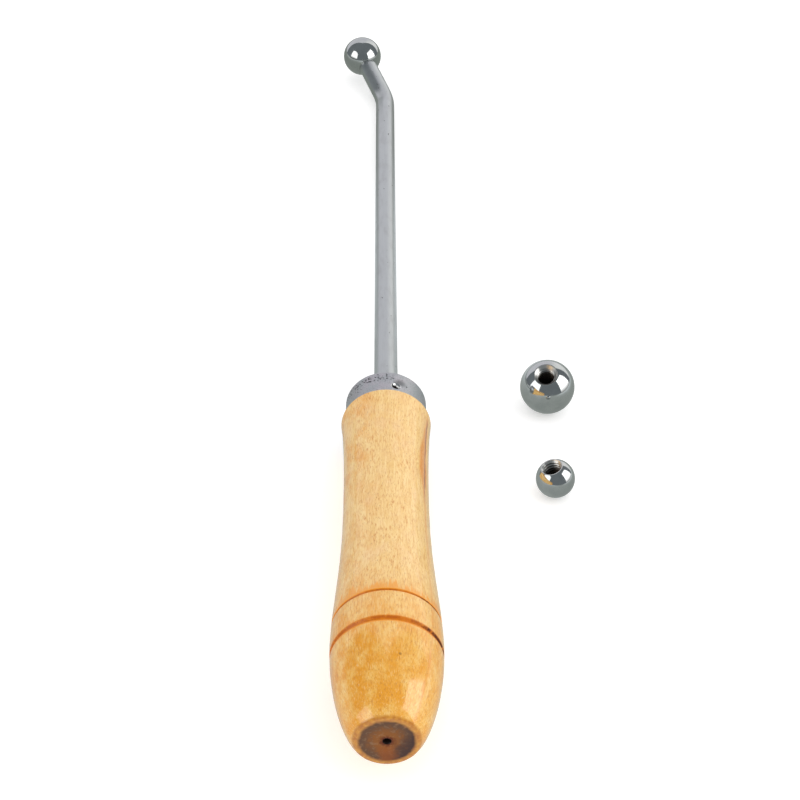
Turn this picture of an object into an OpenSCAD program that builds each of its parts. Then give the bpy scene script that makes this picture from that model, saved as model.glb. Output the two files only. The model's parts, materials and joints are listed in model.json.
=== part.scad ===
// Ball-ended forming tool: a turned wooden handle with a steel ferrule, a steel rod with a bent tip,
// and three screw-on steel balls. One ball is on the rod, and two spare balls lie beside the tool.
// Millimetres. +Z is up and z = 0 is the bench. The tool lies on it and points along +Y, as it rests by
// itself: on the handle's front shoulder and on the heel of the bend.

/* [Rod] */
// Diameter of the steel rod
rod_d = 6; // [5:0.1:9]
// From the ferrule's front face to the corner of the bend
rod_reach = 172; // [90:1:260]
// From the corner of the bend to the middle of the tip ball
tip_length = 22.5; // [19:0.5:50]
// Angle of the bend
bend_angle = 27; // [10:1:45]
// Radius of the bend, at the middle of the rod
bend_radius = 18; // [12:1:30]
// How far the tip is turned up out of the level, to the left
bend_roll = 41; // [30:1:80]
// Length of rod held inside the handle, behind the ferrule's front face
tang_length = 62; // [30:1:78]
// Length of the tang's point
tang_point = 4; // [2:0.5:8]

/* [Handle] */
// Length of the wood behind the ferrule
handle_length = 102.7; // [84:0.1:140]
// Diameter at the front shoulder
shoulder_d = 22.1; // [21.5:0.1:26]
// Diameter at the waist
waist_d = 19.9; // [16:0.1:22]
// From the front shoulder to the waist
waist_at = 33; // [20:1:45]
// Largest diameter of the belly
belly_d = 24; // [21:0.1:30]
// From the front shoulder to the fullest part of the belly
belly_at = 78; // [60:1:80]
// Diameter at the butt
butt_d = 13.4; // [9:0.1:18]
// Rounding of the wood's two edges
edge_round = 0.5; // [0.2:0.1:1]
// From the front shoulder to the narrow groove
narrow_groove_at = 71.8; // [50:0.1:74]
// Width of the narrow groove
narrow_groove_w = 0.8; // [0.4:0.1:1.5]
// Depth of the narrow groove
narrow_groove_depth = 0.35; // [0.2:0.05:0.6]
// From the front shoulder to the wide groove
wide_groove_at = 80.3; // [76:0.1:82]
// Width of the wide groove
wide_groove_w = 1.3; // [0.6:0.1:2]
// Depth of the wide groove
wide_groove_depth = 0.5; // [0.2:0.05:0.9]
// Diameter of the turning centre's mark in the butt
centre_mark_d = 1.7; // [1:0.1:3]
// Depth of that mark
centre_mark_depth = 1.8; // [1:0.1:4]

/* [Ferrule] */
// Outside diameter of the ferrule
ferrule_d = 20; // [16:0.1:20.8]
// Length of the ferrule
ferrule_length = 8.9; // [6:0.1:16]
// Thickness of its sheet steel
ferrule_wall = 0.8; // [0.5:0.1:1.2]
// Rounding of its front rim
ferrule_round = 1; // [0.5:0.1:2]
// Gap round the rod where it comes through the ferrule
rod_gap = 0.05; // [0.02:0.01:0.3]

/* [Ferrule pin] */
// Diameter of the pin's shank
pin_d = 1.1; // [0.8:0.1:1.6]
// Diameter of its head
pin_head_d = 1.8; // [1.4:0.1:2]
// Height of the head's dome
pin_dome = 0.3; // [0.1:0.05:0.4]
// Wood left between the pin's inner end and the rod
pin_clearance = 1.2; // [0.4:0.1:2]
// From the wood's shoulder to the middle of the pin
pin_setback = 3; // [1.6:0.1:4.5]
// How far the pin is turned to the right of the top
pin_turn = 15; // [-90:1:90]
// Diameter of the punched dimple that the head sits in
dimple_d = 2.5; // [2.2:0.1:2.7]

/* [Balls] */
// Diameter of the ball on the rod
tip_ball_d = 12.7; // [10:0.1:18]
// Diameter of the large spare ball
large_ball_d = 14; // [11:0.1:20]
// Diameter of the small spare ball
small_ball_d = 9.5; // [7.8:0.1:10.5]
// Thread size
thread_d = 5; // [3:0.1:5]
// Pitch of the thread. The holes are drilled that much smaller than the thread.
thread_pitch = 0.8; // [0.5:0.05:1]
// Gap between the stud and the wall of the hole
stud_gap = 0.04; // [0.02:0.01:0.1]
// Length of the stud on the rod
stud_length = 5.5; // [3:0.1:6]
// Steel left between the bottom of a hole and the far side of its ball
ball_floor = 1.1; // [0.6:0.1:2]
// How far the flat round a hole reaches past the rod's edge
seat_margin = 0.1; // [0.05:0.05:0.4]
// How far the flat on the small ball reaches past the thread
small_seat_margin = 0.2; // [0.1:0.05:0.4]
// Angle of the drill's point
drill_angle = 118; // [90:1:140]

/* [Layout] */
// The large ball's middle, to the right of the tool's axis
large_ball_offset = 41.5; // [32:0.5:90]
// The small ball's middle, to the right of the tool's axis
small_ball_offset = 41; // [32:0.5:90]
// The large ball's middle, ahead of the ferrule's front face
large_ball_ahead = 11; // [-4:0.5:80]
// The small ball's middle, behind the ferrule's front face
small_ball_behind = 22; // [12:0.5:80]
// How far the large ball's hole leans from upright
large_ball_lean = 24; // [0:1:60]
// Direction that it leans in, from +X
large_ball_heading = 251; // [0:1:359]
// How far the small ball's hole leans from upright
small_ball_lean = 17; // [0:1:60]
// Direction that it leans in, from +X
small_ball_heading = 187; // [0:1:359]

/* [Hidden] */
$fn = 96;
wood = "burlywood";
bare_steel = "silver";
zinc = "slategray";
polished = "gainsboro";

rod_r = rod_d / 2;
tap_d = thread_d - thread_pitch;
stud_r = tap_d / 2 - stud_gap;
neck_d = ferrule_d - 2 * ferrule_wall;
pin_length = neck_d / 2 - rod_r - pin_clearance;
butt_z = -ferrule_length - handle_length;
cut = 1;                // how far a cutting shape runs past the face that it cuts
seam_cover = 0.02;      // how far a ball over a seam stands proud of the rod
curve_steps = 16;       // flats along each stretch of the handle's curve
corner_steps = 6;       // flats round a rounded edge

// The seat is the flat round the mouth of a ball's hole.
rod_seat_d = rod_d + 2 * seat_margin;
small_seat_d = thread_d + 2 * small_seat_margin;
// Height of a flat of diameter s above the middle of a ball of diameter d
function seat_height(d, s) = sqrt(d * d - s * s) / 2;
tip_seat = seat_height(tip_ball_d, rod_seat_d);

// Length from the corner of the bend to each end of its arc
bend_tangent = bend_radius * tan(bend_angle / 2);
bend_start = rod_reach - bend_tangent;

// A stretch of the handle's outline: a cubic curve from a to b, drawn towards pull_a and pull_b.
// Each point is [distance behind the shoulder, radius].
function on_curve(a, pull_a, pull_b, b, t) =
    pow(1 - t, 3) * a + 3 * t * pow(1 - t, 2) * pull_a + 3 * t * t * (1 - t) * pull_b + pow(t, 3) * b;
function stretch(a, pull_a, pull_b, b) =
    [for (i = [1:curve_steps]) on_curve(a, pull_a, pull_b, b, i / curve_steps)];

shoulder = [0, shoulder_d / 2];
waist = [waist_at, waist_d / 2];
belly = [belly_at, belly_d / 2];
butt = [handle_length, butt_d / 2];
// How far each pull reaches along its stretch, and how much of the change in radius it takes
shoulder_pull = shoulder + [0.28 * waist_at, 0.72 * (waist.y - shoulder.y)];
waist_pull_front = waist - [0.36 * waist_at, 0];
waist_pull_back = waist + [0.49 * (belly_at - waist_at), 0];
belly_pull_front = belly - [0.27 * (belly_at - waist_at), 0];
belly_pull_back = belly + [0.32 * (handle_length - belly_at), 0];
butt_pull = butt + [-0.21 * (handle_length - belly_at), 0.71 * (belly.y - butt.y)];
outline = concat(
    [shoulder],
    stretch(shoulder, shoulder_pull, waist_pull_front, waist),
    stretch(waist, waist_pull_back, belly_pull_front, belly),
    stretch(belly, belly_pull_back, butt_pull, butt));
function handle_r(distance) = lookup(distance, outline);

// The tool rests on two points. The shoulder's rounded edge touches the bench at any lean, and the rod
// touches it where the bend runs level, which is a little way round the bend. Each step of this function
// takes a lean and returns the lean that brings both points to one height.
function heel_turn(lean) = atan(tan(lean) / sin(bend_roll));
function heel_along(lean) = bend_start + bend_radius * sin(heel_turn(lean));
function heel_rise(lean) = bend_radius * (1 - cos(heel_turn(lean))) * sin(bend_roll);
shoulder_along = -ferrule_length - edge_round;
shoulder_drop = shoulder_d / 2 - edge_round;
function better_lean(lean) = asin(
    (shoulder_drop * cos(lean) + edge_round + heel_rise(lean) * cos(lean) - rod_r)
    / (heel_along(lean) - shoulder_along));
function settle(lean, steps) = steps == 0 ? lean : settle(better_lean(lean), steps - 1);
nose_down = settle(0, 8);
axis_height = shoulder_along * sin(nose_down) + shoulder_drop * cos(nose_down) + edge_round;

// The whole object's box, which sets the origin: the middle of its footprint
tip_side = tip_length * sin(bend_angle) * cos(bend_roll);
tip_up = tip_length * sin(bend_angle) * sin(bend_roll);
tip_along = rod_reach + tip_length * cos(bend_angle);
left_edge = -max(tip_side + tip_ball_d / 2, belly_d / 2);
right_edge = max(large_ball_offset + large_ball_d / 2, small_ball_offset + small_ball_d / 2);
front_edge = tip_along * cos(nose_down) + tip_up * sin(nose_down) + tip_ball_d / 2;
back_edge = (butt_z + edge_round) * cos(nose_down)
    - (butt_d / 2 - edge_round) * sin(nose_down) - edge_round;
middle = [(left_edge + right_edge) / 2, (front_edge + back_edge) / 2];

// Puts a piece of the tool in its place. In the tool's own frame z runs along the axis to the tip, with
// z = 0 at the ferrule's front face, x is to the right and -y is up.
module on_bench() {
    translate([-middle.x, -middle.y, axis_height])
        rotate([-90 - nose_down, 0, 0])
            children();
}

// In the tool's frame: the same axis, with x towards the side that the tip bends to
module toward_bend() {
    rotate([0, 0, 180 + bend_roll])
        children();
}

// In the tool's frame: at the corner of the bend, with z along the tip
module at_tip() {
    toward_bend()
        translate([0, 0, rod_reach])
            rotate([0, bend_angle, 0])
                children();
}

// In the tool's frame: on the axis at the pin, with z outwards along it
module at_pin() {
    translate([0, 0, pin_setback - ferrule_length])
        rotate([90, 0, pin_turn])
            children();
}

// Points of an arc of radius r about c, from one angle to another
function arc(c, r, from, to) =
    [for (i = [0:corner_steps])
        let (a = from + (to - from) * i / corner_steps)
            c + r * [cos(a), sin(a)]];

// The wood's outline as [radius, height], with both edges rounded. Points closer to an edge than its
// rounding are left out, and the butt's rounding starts square to the slope that runs into it.
module wood_outline() {
    kept = [for (p = outline) if (p.x > edge_round && p.x < handle_length - edge_round) p];
    slope = atan((butt_pull.y - butt.y) / (butt.x - butt_pull.x));
    butt_corner = [
        butt.y + edge_round * (tan(slope) - 1 / cos(slope)),
        butt_z + edge_round];
    polygon(concat(
        [[0, -ferrule_length]],
        arc([shoulder_drop, shoulder_along], edge_round, 90, 0),
        [for (p = kept) [p.y, -ferrule_length - p.x]],
        arc(butt_corner, edge_round, -slope, -90),
        [[0, butt_z]]));
}

module v_groove(distance, width, depth) {
    r = handle_r(distance);
    half_mouth = width / 2 * (1 + cut / depth);
    translate([0, 0, -ferrule_length - distance])
        rotate_extrude()
            polygon([[r - depth, 0], [r + cut, half_mouth], [r + cut, -half_mouth]]);
}

// The tang's solid, which is also the shape of the hole that it is driven into
module tang() {
    translate([0, 0, -tang_length])
        cylinder(h = tang_point, r1 = rod_r / 2, r2 = rod_r);
    translate([0, 0, tang_point - tang_length])
        cylinder(h = tang_length - tang_point, r = rod_r);
}

module wood_handle() {
    color(wood) on_bench() difference() {
        union() {
            rotate_extrude()
                wood_outline();
            translate([0, 0, -ferrule_length - cut])
                cylinder(h = ferrule_length + cut - ferrule_wall, d = neck_d);
        }
        v_groove(narrow_groove_at, narrow_groove_w, narrow_groove_depth);
        v_groove(wide_groove_at, wide_groove_w, wide_groove_depth);
        tang();
        translate([0, 0, butt_z])
            cylinder(h = centre_mark_depth, d1 = centre_mark_d, d2 = 0);
        at_pin()
            translate([0, 0, neck_d / 2 - pin_length])
                cylinder(h = pin_length + cut, d = pin_d);
    }
}

// A drawn cup with a rounded rim. The rod comes out through its floor, and the pin's dimple is in its side.
module ferrule() {
    color(zinc) on_bench() difference() {
        rotate_extrude()
            polygon(concat(
                [[0, -ferrule_length], [ferrule_d / 2, -ferrule_length]],
                arc([ferrule_d / 2 - ferrule_round, -ferrule_round], ferrule_round, 0, 90),
                [[0, 0]]));
        translate([0, 0, -ferrule_length - cut])
            cylinder(h = ferrule_length + cut - ferrule_wall, d = neck_d);
        translate([0, 0, -ferrule_wall - cut])
            cylinder(h = ferrule_wall + 2 * cut, r = rod_r + rod_gap);
        at_pin() dimple();
    }
}

// A cone that opens from the shank's width at the inside of the ferrule to the dimple's at its outside
module dimple() {
    flare = (dimple_d - pin_d) / ferrule_wall;
    translate([0, 0, neck_d / 2 - cut])
        cylinder(h = 2 * cut, d = pin_d);
    translate([0, 0, neck_d / 2])
        cylinder(h = ferrule_wall + cut, d1 = pin_d, d2 = pin_d + flare * (ferrule_wall + cut));
}

// A brad with a domed head, which beds in the dimple's cone where the cone is as wide as the head
module ferrule_pin() {
    bed = ferrule_wall * (pin_head_d - pin_d) / (dimple_d - pin_d);
    dome_r = (pow(pin_head_d / 2, 2) + pow(pin_dome, 2)) / (2 * pin_dome);
    dome_half = asin(pin_head_d / 2 / dome_r);
    color(polished) on_bench() at_pin() translate([0, 0, neck_d / 2]) {
        translate([0, 0, -pin_length])
            cylinder(h = pin_length, d = pin_d);
        rotate_extrude()
            polygon(concat(
                [[0, 0], [pin_d / 2, 0]],
                arc([0, bed + pin_dome - dome_r], dome_r, 90 - dome_half, 90)));
    }
}

module steel_rod() {
    color(bare_steel) on_bench() {
        toward_bend() {
            tang();
            cylinder(h = bend_start, r = rod_r);
            translate([bend_radius, 0, bend_start])
                rotate([90, 0, 180])
                    rotate_extrude(angle = bend_angle)
                        translate([bend_radius, 0])
                            rotate(180)
                                circle(r = rod_r);
        }
        // The ball hides the seam between the bend and the straight tip, which only touch face to face.
        at_tip() {
            translate([0, 0, bend_tangent])
                sphere(r = rod_r + seam_cover);
            translate([0, 0, bend_tangent])
                cylinder(h = tip_length - tip_seat - bend_tangent, r = rod_r);
            translate([0, 0, tip_length - tip_seat])
                stud();
        }
    }
}

// The rod's turned-down end, with a small chamfer
module stud() {
    chamfer = (thread_d - tap_d) / 2;
    cylinder(h = stud_length - chamfer, r = stud_r);
    translate([0, 0, stud_length - chamfer])
        cylinder(h = chamfer, r1 = stud_r, r2 = stud_r - chamfer);
}

// A ball with its middle at the origin and its hole opening upwards. The mouth of the hole has a flat round
// it and a chamfer down from the thread's size.
module drilled_ball(d, seat_d) {
    seat = seat_height(d, seat_d);
    chamfer = (thread_d - tap_d) / 2;
    drill_tip = tap_d / 2 / tan(drill_angle / 2);
    full_bore = d / 2 + seat - ball_floor - drill_tip;
    difference() {
        sphere(d = d);
        translate([0, 0, seat])
            cylinder(h = d, r = d);
        translate([0, 0, seat - chamfer])
            cylinder(h = chamfer + cut, d1 = tap_d, d2 = thread_d + 2 * cut);
        translate([0, 0, seat - full_bore])
            cylinder(h = full_bore, d = tap_d);
        translate([0, 0, ball_floor - d / 2])
            cylinder(h = drill_tip, d1 = 0, d2 = tap_d);
    }
}

module tip_ball() {
    color(polished) on_bench() at_tip()
        translate([0, 0, tip_length])
            rotate([180, 0, 0])
                drilled_ball(tip_ball_d, rod_seat_d);
}

// A ball that lies on the bench, ahead of the ferrule's front face or behind it
module spare_ball(d, seat_d, offset, ahead, lean, heading) {
    color(polished)
        translate([offset - middle.x, ahead - middle.y, d / 2])
            rotate([0, lean, heading])
                drilled_ball(d, seat_d);
}

module spare_ball_large() {
    spare_ball(large_ball_d, rod_seat_d, large_ball_offset, large_ball_ahead,
               large_ball_lean, large_ball_heading);
}

module spare_ball_small() {
    spare_ball(small_ball_d, small_seat_d, small_ball_offset, -small_ball_behind,
               small_ball_lean, small_ball_heading);
}

wood_handle();
ferrule();
ferrule_pin();
steel_rod();
tip_ball();
spare_ball_large();
spare_ball_small();
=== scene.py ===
"""A ball-ended forming tool and its two spare balls, finished for the studio.

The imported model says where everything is. Each of its pieces is made again here as a finer surface: the
turned and lacquered handle, the ferrule with its punched dimple, the pin, the drawn rod with its threaded
stud, and the polished balls with their tapped holes. Metres throughout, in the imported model's frame.
"""

import json
import math

import bpy
import numpy as np
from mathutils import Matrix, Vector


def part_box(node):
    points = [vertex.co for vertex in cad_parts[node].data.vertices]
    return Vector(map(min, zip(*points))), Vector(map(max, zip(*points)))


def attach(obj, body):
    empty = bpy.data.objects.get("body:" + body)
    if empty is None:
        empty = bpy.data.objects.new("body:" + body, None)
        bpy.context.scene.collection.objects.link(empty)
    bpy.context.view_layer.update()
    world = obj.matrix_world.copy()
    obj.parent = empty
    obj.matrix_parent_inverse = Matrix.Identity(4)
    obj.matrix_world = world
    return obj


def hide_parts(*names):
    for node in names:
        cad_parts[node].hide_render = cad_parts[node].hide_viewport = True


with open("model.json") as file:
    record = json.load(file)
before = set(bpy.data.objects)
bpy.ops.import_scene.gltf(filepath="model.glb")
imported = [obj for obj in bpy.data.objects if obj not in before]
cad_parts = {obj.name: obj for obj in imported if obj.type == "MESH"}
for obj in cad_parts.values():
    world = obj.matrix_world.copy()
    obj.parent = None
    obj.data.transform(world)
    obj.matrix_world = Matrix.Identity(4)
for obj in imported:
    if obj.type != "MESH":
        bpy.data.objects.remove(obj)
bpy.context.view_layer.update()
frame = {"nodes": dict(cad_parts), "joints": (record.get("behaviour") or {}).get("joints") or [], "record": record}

MM = 0.001
TURN = 2 * math.pi
SHARP = math.radians(40)    # a mesh's edges that turn more than this stay sharp
WHITE = (1, 1, 1, 1)

# ------------------------------------------------------------------------------
# Sizes of the pieces
# ------------------------------------------------------------------------------

ROD_R = 3.0 * MM
BEND_RADIUS = 18 * MM
TANG_LENGTH = 62 * MM
TANG_POINT = 4 * MM

FERRULE_R = 10.0 * MM
FERRULE_LENGTH = 8.9 * MM
FERRULE_WALL = 0.8 * MM
FERRULE_ROUND = 1.0 * MM
ROD_GAP = 0.05 * MM
SPIGOT_R = FERRULE_R - FERRULE_WALL

PIN_R = 0.55 * MM
PIN_HEAD_R = 0.9 * MM
PIN_DOME = 0.3 * MM
PIN_LENGTH = 5 * MM
PIN_BED = 0.4 * MM
PIN_SETBACK = 3 * MM
PIN_TURN = math.radians(15)
DIMPLE_R = 1.25 * MM
DIMPLE_DEPTH = 0.62 * MM
DISH_DEPTH = 0.1 * MM

SHOULDER_R = 11.05 * MM
WAIST_R = 9.95 * MM
WAIST_AT = 33 * MM
BELLY_R = 12.0 * MM
BELLY_AT = 78 * MM
BUTT_R = 6.7 * MM
WOOD_EDGE = 0.5 * MM
NARROW_GROOVE = (71.8 * MM, 0.8 * MM, 0.35 * MM)
WIDE_GROOVE = (80.3 * MM, 1.3 * MM, 0.5 * MM)
CENTRE_MARK_R = 0.85 * MM
CENTRE_MARK_DEPTH = 1.8 * MM
SCAR_ANGLE = math.radians(18)   # above the handle's right side, at the shoulder
SCAR_LEAN = math.radians(0.25)  # and how much more with every millimetre behind it
SCAR_DEPTH = 0.14 * MM
SCAR_SPREAD = 0.5 * MM

THREAD_R = 2.5 * MM
BORE_R = 2.1 * MM
THREAD_PITCH = 0.8 * MM
THREAD_GAP = 0.04 * MM
STUD_LENGTH = 5.5 * MM
THREAD_STEP = THREAD_PITCH / 14     # between rings on a thread
BALL_FLOOR = 1.1 * MM
DRILL_HALF_ANGLE = math.radians(59)
ROD_SEAT_R = 3.1 * MM
SMALL_SEAT_R = 2.7 * MM


# ------------------------------------------------------------------------------
# Places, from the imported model
# ------------------------------------------------------------------------------

def unit(v):
    """The vector at length 1."""
    v = np.asarray(v, float)
    return v / np.linalg.norm(v)


def corners_of(node):
    """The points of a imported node's mesh, as rows."""
    mesh = frame["nodes"][node].data
    co = np.empty(len(mesh.vertices) * 3)
    mesh.vertices.foreach_get("co", co)
    return co.reshape(-1, 3)


class Axes:
    """A place to build in: an origin and three directions at right angles. at() takes amounts along them."""

    def __init__(self, origin, x, z):
        self.origin = np.asarray(origin, float)
        self.z = unit(z)
        self.x = unit(np.asarray(x, float) - np.dot(x, self.z) * self.z)
        self.y = np.cross(self.z, self.x)

    def at(self, x, y, z):
        x, y, z = np.broadcast_arrays(x, y, z)
        return self.origin + x[..., None] * self.x + y[..., None] * self.y + z[..., None] * self.z


mounts = {m["name"]: m for m in frame["record"]["mounts"]}
joints = {j["name"]: j for j in frame["joints"]}

# The tool's own axis runs from the butt to the ferrule. Its frame has z along it, x to the right and y down.
tool_axis = -unit(mounts["butt_face"]["axis"])
handle_low, handle_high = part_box("wood_handle")
butt_middle = np.array(mounts["butt_face"]["pos_m"], float)
butt_middle[0] = (handle_low.x + handle_high.x) / 2
front_at = ((corners_of("ferrule") - butt_middle) @ tool_axis).max()
tool = Axes(butt_middle + front_at * tool_axis, (1, 0, 0), tool_axis)
HANDLE_LENGTH = front_at - FERRULE_LENGTH


def middle_of_ball(node, hole):
    """A ball's middle and radius from its node's box. The hole's flat cuts the box short on the side it
    faces, so each coordinate is taken from the side that faces away from the hole."""
    low, high = (np.array(c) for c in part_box(node))
    radius = (high - low).max() / 2
    return np.where(np.array(hole) > 0, low + radius, high - radius), radius


# The tip leaves the axis in the plane of the bend. Its frame has z along the tip, and x outwards in that
# plane.
tip_axis = unit(joints["tip_ball_unscrew"]["axis"])
tip_middle, TIP_BALL_R = middle_of_ball("tip_ball", -tip_axis)
bend_side = unit(tip_axis - (tip_axis @ tool_axis) * tool_axis)
BEND_ANGLE = math.acos(tip_axis @ tool_axis)
TIP_LENGTH = (tip_middle - tool.origin) @ bend_side / math.sin(BEND_ANGLE)
ROD_REACH = (tip_middle - tool.origin) @ tool_axis - TIP_LENGTH * math.cos(BEND_ANGLE)
rod = Axes(tool.origin, bend_side, tool_axis)
tip = Axes(tip_middle, math.cos(BEND_ANGLE) * bend_side - math.sin(BEND_ANGLE) * tool_axis, tip_axis)
TIP_SEAT = math.sqrt(TIP_BALL_R**2 - ROD_SEAT_R**2)

# ------------------------------------------------------------------------------
# Making meshes
# ------------------------------------------------------------------------------


def round_corners(corners, steps):
    """An outline through corners (x, y, radius). Each corner becomes an arc of its radius that touches both
    of its sides; the arc's points are the start and end directions from its middle, mixed by the sine
    rule."""
    spots = [np.array(c[:2], float) for c in corners]
    out = []
    for i, (_, _, radius) in enumerate(corners):
        if radius == 0:
            out.append(spots[i][None])
            continue
        back, ahead = unit(spots[i - 1] - spots[i]), unit(spots[i + 1] - spots[i])
        half = math.acos(back @ ahead) / 2
        middle = spots[i] + unit(back + ahead) * radius / math.sin(half)
        start = spots[i] + back * radius / math.tan(half) - middle
        end = spots[i] + ahead * radius / math.tan(half) - middle
        turn = math.pi - 2 * half
        t = np.linspace(0, 1, steps + 1)[:, None]
        out.append(middle + (np.sin((1 - t) * turn) * start + np.sin(t * turn) * end) / math.sin(turn))
    return np.concatenate(out)


def round_grid(rows, columns, closed=False):
    """Quads between neighbouring rows of points, where each row runs round and meets itself."""
    i = np.arange(rows if closed else rows - 1)[:, None]
    j = np.arange(columns)[None]
    here, above, beside = i * columns, (i + 1) % rows * columns, (j + 1) % columns
    return np.stack([here + j, here + beside, above + beside, above + j], -1).reshape(-1, 4)


def make_piece(name, points, quads, tris, finish, body, node, slot):
    """A mesh object at the origin from arrays of points and faces. It rides on a body and takes the place of
    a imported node."""
    mesh = bpy.data.meshes.new(name)
    mesh.from_pydata(points.tolist(), [], quads.tolist() + tris.tolist())
    mesh.validate()
    mesh.shade_smooth()
    mesh.set_sharp_from_angle(angle=SHARP)
    mesh.materials.append(finish)
    piece = bpy.data.objects.new(name, mesh)
    bpy.context.scene.collection.objects.link(piece)
    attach(piece, body)
    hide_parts(node)


def lathe(name, rings, start, end, *details):
    """A closed skin over rings of points, each a row, with a point at either end where the rings close up.
    The rings run so that going round them and then on to the next one turns outwards by the right-hand
    rule."""
    rows, columns = rings.shape[:2]
    points = np.concatenate([rings.reshape(-1, 3), [start, end]])
    j = np.arange(columns)
    beside = (j + 1) % columns
    first, last = rows * columns, rows * columns + 1
    top = (rows - 1) * columns
    tris = np.concatenate([
        np.stack([np.full(columns, first), beside, j], -1),
        np.stack([top + j, top + beside, np.full(columns, last)], -1)])
    make_piece(name, points, round_grid(rows, columns), tris, *details)


def steps_between(stops, spacings):
    """Numbers from the first stop to the last, where each stretch between two stops has its own spacing."""
    parts = [np.linspace(a, b, max(2, round(abs(b - a) / gap)), endpoint=False)
             for a, b, gap in zip(stops, stops[1:], spacings)]
    return np.append(np.concatenate(parts), stops[-1])


def ramp(x, start, end):
    """0 before start, 1 after end, and smooth in between."""
    t = np.clip((x - start) / (end - start), 0, 1)
    return t * t * (3 - 2 * t)


def uneven(angle, along, seed, wavelength):
    """A gentle unevenness between about -1 and 1: three waves round and along the piece, with phases and
    directions drawn from the seed. It meets itself all the way round."""
    draw = np.random.default_rng(seed)
    out = 0
    for turns in (1, 2, 3):
        pace = TURN / wavelength * draw.uniform(0.5, 1.2)
        out = out + np.sin(turns * angle + pace * along + draw.uniform(0, TURN)) / 3
    return out


# ------------------------------------------------------------------------------
# The thread
# ------------------------------------------------------------------------------


def thread_wave(depth, angle):
    """Height of a right-hand thread from its core, 0 to 1, at a depth past the seat and an angle about the
    hole: a saw of equal flanks that advances one pitch a turn, with a flat at its core and at its crest."""
    share = (depth / THREAD_PITCH - angle / TURN) % 1
    saw = 1 - np.abs(2 * share - 1)
    return np.clip((saw - 0.15) / 0.7, 0, 1)


# ------------------------------------------------------------------------------
# The balls
# ------------------------------------------------------------------------------


def tapped_ball(name, place, radius, seat_r, body, node):
    """A ball about the place's origin with a tapped hole that opens along its z. From the far pole, the
    rings climb the sphere to the seat, cross its flat, and go down the hole: countersink, thread, plain
    bore, cone. In the hole each point is as far out as the wider of the thread and the countersink."""
    columns = 128
    angle = np.linspace(0, TURN, columns, endpoint=False)
    seat = math.sqrt(radius**2 - seat_r**2)
    lip = 0.05 * MM
    latitude = np.linspace(-math.pi / 2, math.asin(seat / radius), 90)[1:-1]
    skin = np.stack([radius * np.cos(latitude), radius * np.sin(latitude)], -1)
    edge = round_corners([
        (*skin[-1], 0),
        (seat_r, seat, lip),
        (seat_r - 0.15 * MM, seat, 0)], 4)[1:]
    outside = np.concatenate([skin, edge])
    cone = BORE_R / math.tan(DRILL_HALF_ANGLE)
    bore_depth = seat + radius - BALL_FLOOR - cone
    thread_depth = bore_depth - 1.2 * THREAD_PITCH
    depth = steps_between([0, thread_depth, bore_depth], [THREAD_STEP, THREAD_PITCH / 4])[:, None]
    run_out = 1 - ramp(depth, thread_depth - THREAD_PITCH, thread_depth)
    thread = BORE_R + (THREAD_R - BORE_R) * run_out * thread_wave(-depth, angle)
    countersink = seat_r - 0.2 * MM - depth
    hole_r = np.maximum(thread, countersink)
    point_r = np.linspace(BORE_R, 0, 8)[1:-1, None] + 0 * angle
    point_at = seat - bore_depth - (BORE_R - point_r) / math.tan(DRILL_HALF_ANGLE)
    across = np.concatenate([outside[:, :1] + 0 * angle, hole_r, point_r])
    up = np.concatenate([outside[:, 1:] + 0 * angle, seat - depth + 0 * angle, point_at])
    rings = place.at(across * np.cos(angle), across * np.sin(angle), up)
    start = place.at(0, 0, -radius)
    end = place.at(0, 0, seat - bore_depth - cone)
    finish = polished_steel(name, place, radius, seat)
    lathe(name, rings, start, end, finish, body, node, "polished_steel")


# ------------------------------------------------------------------------------
# The rod
# ------------------------------------------------------------------------------


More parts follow.
